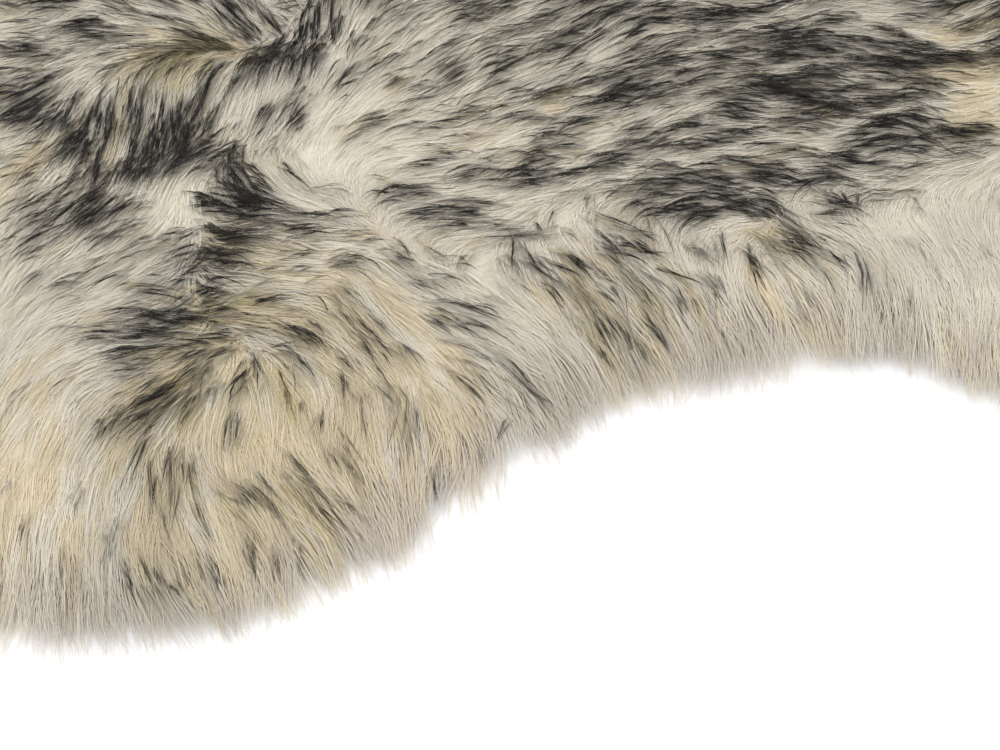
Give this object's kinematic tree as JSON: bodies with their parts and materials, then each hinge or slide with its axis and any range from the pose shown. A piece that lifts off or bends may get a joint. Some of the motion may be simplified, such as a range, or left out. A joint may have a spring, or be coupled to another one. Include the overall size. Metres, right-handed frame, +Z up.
{
  "type": "sheepskin rug",
  "caption": "Long-wool sheepskin rug: one hide with leg lobes, cream wool with charcoal tips, lying flat wool side up.",
  "frame": {"origin": "on the floor under the middle of the rug's box", "axes": "+X from the tail to the neck, +Y across the hide, +Z up out of the wool"},
  "size_m": [0.9538, 0.6194, 0.0531],
  "materials": {
    "fleece": "long soft matt wool, cream with charcoal tips",
    "skin": "tanned suede, matt, on the underside"
  },
  "bodies": {
    "root": {"sheepskin": "fleece"}
  },
  "joints": []
}
